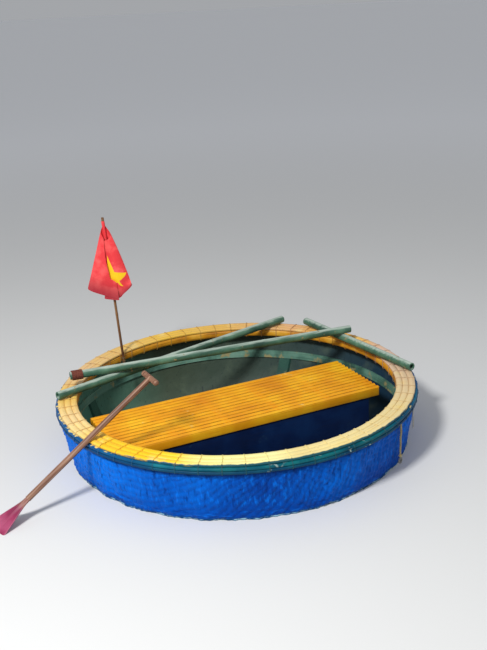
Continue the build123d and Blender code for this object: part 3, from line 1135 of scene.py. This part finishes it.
# One half of a top strip's section: share of its half width, inset, height, and what that is above
strip_half = [
    (1.0, 0.0010, 0.0, cap_bottom),
    (1.0, 0.0, 0.0015, cap_bottom),
    (1.0, 0.0, -0.0026, rim_height),
    (1.0, 0.0012, -0.0004, rim_height),
    (0.74, 0.0, 0.0016, rim_height),
    (0.40, 0.0, 0.0032, rim_height),
]
strip_crown = 0.0038
# Its bamboo knuckles: the first one's angle, how far on the next strip's is, and the angle between two
strip_first_knuckle = 11.0
strip_knuckle_shift = 9.5
strip_knuckle_spacing = 28.8
strip_knuckle_rise = 0.0006
hoop_knuckle_rise = 0.0008
hoop_round = 0.36
# The strips of the hoops: name, middle (radius, height), size, steps, first knuckle, angle between knuckles
outer_strips = [
    ("lower_strip", (0.8895, 0.2558), (0.0194, 0.0150), 600, 4.0, 24.0),
    ("upper_strip", (0.8885, 0.2712), (0.0178, 0.0150), 600, 15.0, 27.0),
]
inner_strips = [
    ("face_strip", (0.8130, 0.2583), (0.0370, 0.0410), 480, 8.0, 30.0),
    ("back_strip", (0.8502, 0.2583), (0.0364, 0.0410), 480, 21.0, 30.0),
]
binding_gap = 0.0009
binding_radius = 0.0009
binding_slant = 2.2
cap_slope = 0.0306667 / 5


def ridge_at(away, width):
    return math.exp(-((away / width) ** 2))


def wavy(piece, sideways, downwards, seed):
    """Small unevenness of hand-bent strips, never above the drawn height."""
    offset = Vector((seed, 2 * seed, -seed))

    def move(spot):
        spoke = spoke_to(spot)
        swing = noise.noise(spoke * 6.0 + offset) * sideways
        drop = abs(noise.noise(spoke * 9.0 - offset)) * downwards
        return spot + spoke * swing - Vector((0, 0, drop))

    shift_points(piece, move)


def knuckled(piece, first, spacing, rise, middle_radius, middle_height):
    """Bamboo joints round a hoop: low ridges at even angles that stand out from its middle line."""
    def move(spot):
        angle = (math.degrees(math.atan2(spot.y, spot.x)) - first) % spacing
        away = min(angle, spacing - angle) * math.radians(1.0) * middle_radius
        out = spoke_to(spot) * (math.hypot(spot.x, spot.y) - middle_radius)
        out += Vector((0, 0, spot.z - middle_height))
        return spot + out.normalized() * rise * ridge_at(away, knuckle_width)

    shift_points(piece, move)


def rim_top_strips():
    half = strip_width / 2 - strip_gap
    for number in range(strip_count):
        middle = cap_inner + (number + 0.5) * strip_width
        outline = []
        # Up one side to the crest, and down the other
        for side in (1, -1):
            points = [(middle + side * (share * half - inset), base + rise)
                      for share, inset, rise, base in strip_half]
            outline += points[::side]
            if side == 1:
                outline.append((middle, rim_height + strip_crown))
        strip = turned("rim_top_strip_%d" % (number + 1), outline, 720)
        first = strip_first_knuckle + strip_knuckle_shift * number
        knuckled(strip, first, strip_knuckle_spacing, strip_knuckle_rise, middle, rim_height - 0.004)
        wavy(strip, 0.0003, 0.0012, 3.1 * number + 1.0)
        smooth(strip, 50.0)
        dressed(strip, rim_top_paint, "rim_cap_paint", "rim_cap")


def hoop_band(name, centre, size, steps, first, spacing):
    """One strip of a hoop: a rounded bar of (width, height) round the boat."""
    turn_radius = hoop_round * min(size)
    outline = []
    for side_across, side_up, start in ((1, -1, -90), (1, 1, 0), (-1, 1, 90), (-1, -1, 180)):
        for step in range(4):
            corner = on_circle(turn_radius, start + 30 * step)
            outline.append((
                centre[0] + side_across * (size[0] / 2 - turn_radius) + corner.x,
                centre[1] + side_up * (size[1] / 2 - turn_radius) + corner.y,
            ))
    band = turned(name, outline, steps)
    knuckled(band, first, spacing, hoop_knuckle_rise, *centre)
    wavy(band, 0.0007, 0.0006, first)
    smooth(band, 50.0)
    return band


def rim_hoop(name, strips, material, slot, node):
    dressed(joined([hoop_band(*strip) for strip in strips], name), material, slot, node)


def binding_route():
    """How a turn of cord lies on the rim's section, from under the outer hoop to under the inner one."""
    gap = binding_gap
    return [
        (0.8815, outer_hoop_bottom - gap),
        (0.8945, outer_hoop_bottom - gap),
        (0.8990 + gap, outer_hoop_bottom + 0.0032),
        (rim_radius + gap, outer_hoop_bottom + 0.0100),
        (rim_radius + gap - 0.0010, 0.2690),
        (0.8965 + gap, 0.2760),
        (0.8900 + gap, hoop_top + gap),
        (cap_outer + gap, 0.2850),
        (cap_outer + gap - 0.0010, rim_height + gap),
        (cap_outer - cap_slope, rim_crest + gap - 0.0012),
        (0.8550, rim_crest + gap),
        (0.8250, rim_crest + gap),
        (cap_inner + cap_slope, rim_crest + gap - 0.0012),
        (cap_inner - gap + 0.0010, rim_height + gap),
        (cap_inner - gap, 0.2850),
        (cap_inner - gap, inner_hoop_bottom + 0.0060),
        (cap_inner + 0.0025, inner_hoop_bottom - gap),
        (cap_inner + 0.0200, inner_hoop_bottom - gap),
        (0.8600, inner_hoop_bottom - gap),
    ]


def rim_bindings():
    """Cord bound round the whole rim, two turns at each place."""
    turns = []
    for side in (-1, 1):
        line = [(across, side * 1.25 * binding_radius, up) for across, up in binding_route()]
        turns.append(strand("turn", line, binding_radius))
    first = joined(turns, "binding")
    middle = Matrix.Translation(((cap_inner + cap_outer) / 2, 0, 0))
    copies = []
    for number in range(binding_count):
        twin = first.copy()
        twin.data = first.data.copy()
        bpy.context.collection.objects.link(twin)
        angle = math.radians((number + binding_start) * 360.0 / binding_count)
        slant = math.radians(binding_slant * math.sin(7.0 * number))
        lean = middle @ Matrix.Rotation(slant, 4, "Z") @ middle.inverted()
        place_mesh(twin, Matrix.Rotation(angle, 4, "Z") @ lean)
        copies.append(twin)
    bpy.data.objects.remove(first)
    dressed(joined(copies, "rim_binding_cord"), binding_paint, "lashing_cord", "rim_lashings")


rim_top_strips()
rim_hoop("outer_rim_hoop", outer_strips, outer_hoop_paint, "outer_hoop_paint", "rim_outer_hoop")
rim_hoop("inner_rim_hoop", inner_strips, inner_hoop_paint, "inner_hoop_paint", "rim_inner_hoop")
rim_bindings()

# Bench
joint_steps = (-0.016, -0.007, -0.003, 0.0, 0.003, 0.007, 0.016)
joint_groove = 0.0015
closest_stations = 0.0015
slat_joint_spacing = 0.31
slat_first_joint = 0.11
slat_joint_shift = 0.137
slat_knuckle_rise = 0.0009
slat_round = 0.0006
slat_play = 0.0004
slat_bend = 0.0014
slat_dip = 0.0006


def joint_stations(length, joints, plain):
    """Places along a bar: even ones, and close ones at each bamboo joint."""
    places = even_places(0.0, length, plain)
    for joint in joints:
        places += [joint + shift for shift in joint_steps]
    places = sorted(min(place, length) for place in places if 0.0 <= place < length + 0.001)
    kept = [places[0]]
    for place in places[1:]:
        if place - kept[-1] > closest_stations:
            kept.append(place)
    kept[-1] = length
    return kept


def joint_swell(place, joints, rise):
    """How much thicker a bamboo is near its joints: a ridge with a fine groove in it."""
    aways = [place - joint for joint in joints]
    return rise * sum(ridge_at(away, knuckle_width) - 0.8 * ridge_at(away, joint_groove) for away in aways)


def bench_slats():
    half = slat_width / 2 - slat_play
    flat = slat_thickness - slat_crown
    outline = [(-half + slat_round, 0.0), (half - slat_round, 0.0), (half, slat_round), (half, flat)]
    for step in range(1, 8):
        share = 1.0 - step / 4.0
        outline.append((half * share, flat + (slat_crown - 0.0003) * (1.0 - share * share)))
    outline += [(-half, flat), (-half, slat_round)]
    for number in range(slat_count):
        first = (slat_first_joint + slat_joint_shift * number) % slat_joint_spacing
        joints = [first + slat_joint_spacing * step for step in range(5)]
        joints = [joint for joint in joints if joint < slat_length - 0.02]
        slat = drawn_bar("bamboo_slat_%02d" % (number + 1), outline, joint_stations(slat_length, joints, 24))

        def move(spot):
            bend = noise_at(spot.x * 2.2, number * 3.7, 0.0) * slat_bend
            drop = abs(noise_at(spot.x * 3.0, number * 1.9, 4.0)) * slat_dip
            rise = joint_swell(spot.x, joints, slat_knuckle_rise) - drop if spot.z > flat else 0.0
            return spot + Vector((0.0, bend, rise))

        shift_points(slat, move)
        smooth(slat, 35.0)
        middle = (number - (slat_count - 1) / 2) * slat_pitch
        lay_between(slat, (-slat_length / 2, middle, bench_base), (slat_length / 2, middle, bench_base))
        dressed(slat, bench_paint, "bench_paint", "bench_slat_%02d" % (number + 1))


def bench_rails():
    for side, word in ((-1, "front"), (1, "back")):
        place = (0, side * rail_offset, (rail_bottom + rail_top) / 2)
        size = (slat_length, rail_width, rail_top - rail_bottom)
        rail = started("%s_rail" % word, bpy.ops.mesh.primitive_cube_add, place, size=1.0, scale=size)
        bpy.ops.object.transform_apply(location=True, rotation=True, scale=True)
        start_edit(rail)
        bpy.ops.mesh.bevel(offset=0.0035, segments=3, affect="EDGES")
        bpy.ops.mesh.bisect(plane_co=(0, 0, 0), plane_no=(1, 0, 0))
        end_edit()
        smooth(rail, 35.0)
        dressed(rail, bench_paint, "bench_paint", "bench_%s_rail" % word)


bench_slats()
bench_rails()
painted_node("stringer_hoop", stringer_paint)
painted_node("bench_front_board", board_paint)
painted_node("bench_back_board", board_paint)
for number in range(1, 5):
    painted_node("floor_rib_%d_left" % number, rib_paint)
    painted_node("floor_rib_%d_right" % number, rib_paint)
for number in range(1, 7):
    painted_node("bench_bearer_%d" % number, bench_paint)

# Poles
pole_sides = 24
pole_bore_wall = 0.0055
pole_bore_depth = 0.030
pole_end_round = 0.0012
pole_fullness = 0.972
pole_unevenness = 0.008
pole_knuckle_rise = 0.0012
whipping_sides = 28


def bamboo_pole(name, node, start, finish, radius, joints, material, slot, hollow=True):
    length = (Vector(finish) - Vector(start)).length
    pole = drawn_bar(name, round_outline(radius, pole_sides), joint_stations(length, joints, 20))
    if hollow:
        for side in (-1, 1):
            def is_end(face):
                return len(face.vertices) > 4 and face.normal.x * side > 0.9

            choose(pole, "FACE", is_end)
            bpy.ops.mesh.bevel(offset=pole_end_round, segments=2, affect="EDGES")
            end_edit()
            choose(pole, "FACE", is_end)
            bpy.ops.mesh.inset(thickness=pole_bore_wall)
            bpy.ops.mesh.extrude_region_move(TRANSFORM_OT_translate={"value": (-pole_bore_depth * side, 0, 0)})
            end_edit()

    def move(spot):
        full = pole_fullness + pole_unevenness * noise_at(spot.x * 4.0, 0.0, radius * 90)
        if spot.yz.length > 0.8 * radius:
            full += joint_swell(spot.x, joints, pole_knuckle_rise) / radius
        return widened(spot, full)

    shift_points(pole, move)
    smooth(pole, 50.0)
    lay_between(pole, start, finish)
    dressed(pole, material, slot, node)


def pole_whipping():
    """Cord wound tight round the end of the top pole."""
    turns = round(whipping_length / whipping_cord) - 1
    line = []
    for step in range(turns * whipping_sides + 1):
        spot = on_circle(pole_radius + whipping_cord / 2, 360.0 * step / whipping_sides)
        along = whipping_start + whipping_cord / 2 + whipping_cord * step / whipping_sides
        line.append((along, spot.x, spot.y))
    piece = strand("pole_end_whipping", line, 0.98 * whipping_cord / 2, 2)
    lay_between(piece, *poles["cross_pole_c"][:2])
    dressed(piece, whipping_paint, "whipping_cord", "pole_whipping")


for pole, (start, finish, joints) in poles.items():
    bamboo_pole("bamboo_%s" % pole, pole, start, finish, pole_radius, joints, pole_paint, "pole_paint")
pole_whipping()
bamboo_pole("bamboo_flag_stick", "flag_pole", stick_foot, stick_top, stick_radius, stick_joints,
            bare_bamboo, "bare_bamboo", hollow=False)

# Flag: a square-cut cloth that hangs in folds from a thin stick tied inside the rim
flag_across = on_circle(1.0, -24.0)
flag_away = Vector((0.407, 0.914, 0.0))
# How the cloth folds, from the stick to its free edge: share of its length, how far it goes
# to the left, to the middle fold, back under that fold and to the right, how far away it
# lies, and how far down its upper edge, its middle and its lower edge hang
flag_folds = [
    (0.00, 0.0, 0.0, 0.0, 0.0, 0.000, 0.000, 0.150, 0.300),
    (0.08, 0.5, 0.0, 0.0, 0.0, -0.001, 0.020, 0.175, 0.325),
    (0.17, 1.0, 0.0, 0.0, 0.0, -0.013, 0.045, 0.205, 0.362),
    (0.31, 0.0, 1.0, 0.0, 0.0, -0.029, 0.085, 0.260, 0.425),
    (0.39, 0.0, 1.0, 1.0, 0.0, -0.0135, 0.095, 0.270, 0.420),
    (0.47, 0.0, 1.0, 0.0, 0.0, -0.018, 0.100, 0.300, 0.420),
    (0.60, 0.0, 0.0, 0.0, 0.5, -0.023, 0.088, 0.318, 0.395),
    (0.72, 0.0, 0.0, 0.0, 1.0, -0.012, 0.060, 0.320, 0.350),
    (0.86, 0.0, 0.0, 0.0, 0.5, 0.006, 0.030, 0.220, 0.350),
    (1.00, 0.1, 0.0, 0.0, 0.0, 0.012, 0.004, 0.200, 0.400),
]
# How far the middle fold lies to the right of the stick, by how far down it is
middle_fold = [(0.0, -0.002), (0.19, -0.0115), (0.30, -0.004), (0.335, 0.026), (1.0, 0.030)]
flag_left_spread = -0.36
flag_right_spread = 0.22
flag_ripple = 0.0025
sleeve_thickness = 0.0016
sleeve_pucker = 0.0007


def stick_at(height):
    share = (height - stick_foot.z) / (stick_top.z - stick_foot.z)
    return stick_foot.lerp(stick_top, share)


def stick_ties():
    """Two turns of flat cord round the stick, tied back to the rim's inner face."""
    out = on_circle(1.0, stick_angle)
    side = on_circle(1.0, stick_angle + 90)
    reach = stick_radius + 0.0015
    bands = []
    for height in stick_tie_heights:
        for step in (-1, 1):
            centre = stick_at(height)
            level = Vector((0, 0, step * 0.0013))
            to_rim = centre + out * (cap_inner - 0.001 - centre.xy.length) + level
            line = [to_rim - side * reach]
            for number in range(13):
                spot = on_circle(reach, -90 - 15 * number)
                line.append(centre + out * spot.x + side * spot.y + level)
            line.append(to_rim + side * reach)
            bands.append(strand("tie", line, stick_tie_cord / 2, 2))
    dressed(joined(bands, "flag_stick_ties"), tie_cord, "lashing_cord", "flag_pole_lashings")


def flowing(place, column):
    """The value at a place in one column of the fold table, on a smooth line through its rows."""
    last = len(flag_folds) - 1
    row = 0
    while row < last - 1 and place > flag_folds[row + 1][0]:
        row += 1
    share = between(place, flag_folds[row][0], flag_folds[row + 1][0])
    before, start, finish, after = (flag_folds[min(max(row + step, 0), last)][column] for step in (-1, 0, 1, 2))
    bend = share * (finish - before + share * (2 * before - 5 * start + 4 * finish - after
                                               + share * (3 * (start - finish) + after - before)))
    return start + 0.5 * bend


def hanging(spot):
    """Where a point of the flat cloth, one unit square, hangs."""
    fly = spot.x + 0.5
    down = 0.5 - spot.y
    left, middle, under, right, away, top, half, bottom = (flowing(fly, column) for column in range(1, 9))
    if down < 0.5:
        drop = top + (half - top) * 2 * down
    else:
        drop = half + (bottom - half) * (2 * down - 1)
    left_edge = flag_left_spread * drop
    sideways = left * left_edge + middle * along_table(drop, middle_fold) + under * 0.5 * left_edge
    sideways += right * flag_right_spread * drop ** 0.7
    away += flag_ripple * math.sin(24.0 * fly + 8.0 * down) * step_between(fly, 0.05, 0.3)
    return stick_at(flag_top - drop) + flag_across * sideways + flag_away * away


def puckered(spot):
    """The sleeve's small gathers round the stick."""
    out = spot - stick_at(spot.z)
    turn = math.atan2(out.y, out.x)
    return spot + out.normalized() * sleeve_pucker * math.sin(3 * turn + 90.0 * spot.z)


def hung_flag():
    cloth = started("hung_flag", bpy.ops.mesh.primitive_grid_add,
                    x_subdivisions=110, y_subdivisions=48, size=1.0)
    shift_points(cloth, hanging)
    only(cloth)
    thick = cloth.modifiers.new("cloth_thickness", "SOLIDIFY")
    thick.thickness = flag_thickness
    thick.offset = 0.0
    bpy.ops.object.modifier_apply(modifier=thick.name)
    smooth(cloth, 80.0)
    dressed(cloth, flag_cotton, "flag_cloth", "flag_cloth")
    line = [stick_at(flag_top + 0.002 - (flag_hoist + 0.004) * step / 24) for step in range(25)]
    sleeve = strand("flag_sleeve", line, stick_radius + sleeve_thickness, 3)
    shift_points(sleeve, puckered)
    smooth(sleeve, 60.0)
    dressed(sleeve, flag_cotton, "flag_cloth")


stick_ties()
hung_flag()

# Paddle
paddle_axes = axes_matrix(paddle_origin, paddle_inboard, paddle_across, paddle_face)
paddle_sides = 24
shaft_steps = 40
grip_steps = 36
collar_stations = [0.0, 0.005, 0.010, 0.0132, 0.018]
# Half of the blade's width, by the share of its length from the neck
blade_half_widths = [
    (0.00, 0.0138), (0.05, 0.0186), (0.10, 0.0270), (0.18, 0.0430), (0.30, 0.0645),
    (0.45, 0.0791), (0.62, 0.0850), (0.78, 0.0774), (0.90, 0.0555), (0.96, 0.036), (0.99, 0.017), (1.0, 0.004),
]
blade_sides = 40
blade_steps = 46
neck_half = 0.0138
spine_half = 0.0050
spine_taper = 0.0020
blade_edge = 0.0030
blade_edge_taper = 0.0015


def paddle_shaft():
    length = shaft_inner_end - shaft_outer_end
    outline = round_outline(shaft_radius, paddle_sides)
    shaft = drawn_bar("paddle_round_shaft", outline, even_places(0.0, length, shaft_steps))

    def move(spot):
        full = 0.985 - 0.05 * step_between(spot.x / length, 0.55, 1.0)
        full *= 1.0 + 0.006 * noise_at(spot.x * 12.0, spot.y * 60.0, spot.z * 60.0)
        return widened(spot, full, shaft_outer_end)

    shift_points(shaft, move)
    smooth(shaft, 50.0)
    place_mesh(shaft, paddle_axes)
    dressed(shaft, paddle_wood, "paddle_wood", "paddle_shaft")


def paddle_grip():
    """A cross grip with rounded ends, over a collar round the shaft's end."""
    half = grip_length / 2
    outline = round_outline(grip_radius, paddle_sides)
    grip = drawn_bar("paddle_cross_grip", outline, even_places(-half, grip_length, grip_steps))

    def shape(spot):
        along = abs(spot.x)
        end = between(half - along, 0.0, 0.012)
        dome = math.sqrt(max(0.0, 1.0 - (1.0 - end) ** 2))
        waist = 0.93 + 0.07 * step_between(along, 0.014, 0.045)
        full = max(0.12, dome) * (waist + (1 - waist) * (1.0 - step_between(along, 0.010, 0.026)))
        away = shaft_inner_end + seat_gap + grip_radius
        return Vector((away + spot.y * full, spot.x, spot.z * full * 0.94))

    shift_points(grip, shape)
    tidy_surface(grip)
    collar = drawn_bar("grip_collar", round_outline(shaft_radius * 1.04, paddle_sides), collar_stations)

    def flare(spot):
        full = 0.90 + 0.08 * step_between(spot.x, 0.0, 0.012)
        return widened(spot, full, shaft_inner_end + seat_gap)

    shift_points(collar, flare)
    grip = joined([grip, collar], "paddle_cross_grip")
    smooth(grip, 50.0)
    place_mesh(grip, paddle_axes)
    dressed(grip, paddle_wood, "paddle_wood", "paddle_grip")


def paddle_blade():
    """A leaf-shaped blade whose thick neck runs out in a low spine down the middle of its face."""
    stations = [0.0] + [1.0 - (1.0 - step / blade_steps) ** 1.25 for step in range(1, blade_steps + 1)]
    blade = drawn_bar("paddle_leaf_blade", round_outline(1.0, blade_sides), stations)

    def move(spot):
        share, across, side = spot
        half = along_table(share, blade_half_widths, straight)
        edge = blade_edge + blade_edge_taper * (1.0 - share)
        spine = neck_half - (neck_half - spine_half) * step_between(share, 0.0, 0.45)
        spine -= spine_taper * step_between(share, 0.45, 1.0)
        ridge_width = 1.0 - 0.70 * step_between(share, 0.0, 0.20)
        ridge = math.exp(-((across / ridge_width) ** 2) * 1.2)
        plate = edge * (1.0 - abs(across) ** 8) ** 0.5 if abs(across) < 1 else 0.0
        thick = max(plate, spine * ridge * math.sqrt(max(0.0, 1.0 - across * across)))
        flat = 0.0 if abs(side) < on_axis_distance else math.copysign(thick, side)
        return Vector((blade_start - blade_length * share, across * half, flat))

    shift_points(blade, move)
    tidy_surface(blade)
    smooth(blade, 55.0)
    place_mesh(blade, paddle_axes)
    dressed(blade, blade_paint, "paddle_blade_paint", "paddle_blade")


paddle_shaft()
paddle_grip()
paddle_blade()

# Floor and light
floor_growths = (5.0, 10.0, 10.0)
floor_fade = (3.0, 12.0)
sky_strength = 0.44
light_aim = Vector((0, 0, 0.1))
# Name, place, size and power
lights = [
    ("key_light", (-3.4, -2.6, 4.6), 1.0, 300.0),
    ("fill_light", (3.6, -3.2, 2.6), 3.0, 16.0),
]


def pale_floor():
    """A floor at the waterline, with a hole where the hull goes through it, paler far away as painted light
    where the key light falls off.
    """
    floor = started("floor", bpy.ops.mesh.primitive_circle_add, vertices=160, radius=floor_hole_radius)
    start_edit(floor)
    for growth in floor_growths:
        bpy.ops.mesh.extrude_edges_move()
        bpy.ops.transform.resize(value=(growth, growth, growth), center_override=(0, 0, 0))
    end_edit()
    finish = Finish("pale_floor", 0.8)
    finish.surface = finish.mixed(finish.radius().mask(*floor_fade), *floor_greys_with_painted_light)
    floor.data.materials.append(finish.done())


def soft_light():
    world = bpy.data.worlds.new("soft_sky")
    world.use_nodes = True
    back = world.node_tree.nodes["Background"]
    back.inputs["Color"].default_value = paint(sky_grey)
    back.inputs["Strength"].default_value = sky_strength
    bpy.context.scene.world = world
    bpy.context.scene.view_settings.view_transform = "Standard"
    for name, spot, size, power in lights:
        light = bpy.data.lights.new(name, "AREA")
        light.shape = "DISK"
        light.size = size
        light.energy = power
        lamp = bpy.data.objects.new(name, light)
        bpy.context.collection.objects.link(lamp)
        lamp.location = spot
        lamp.rotation_euler = (light_aim - Vector(spot)).to_track_quat("-Z", "Y").to_euler()


pale_floor()
soft_light()
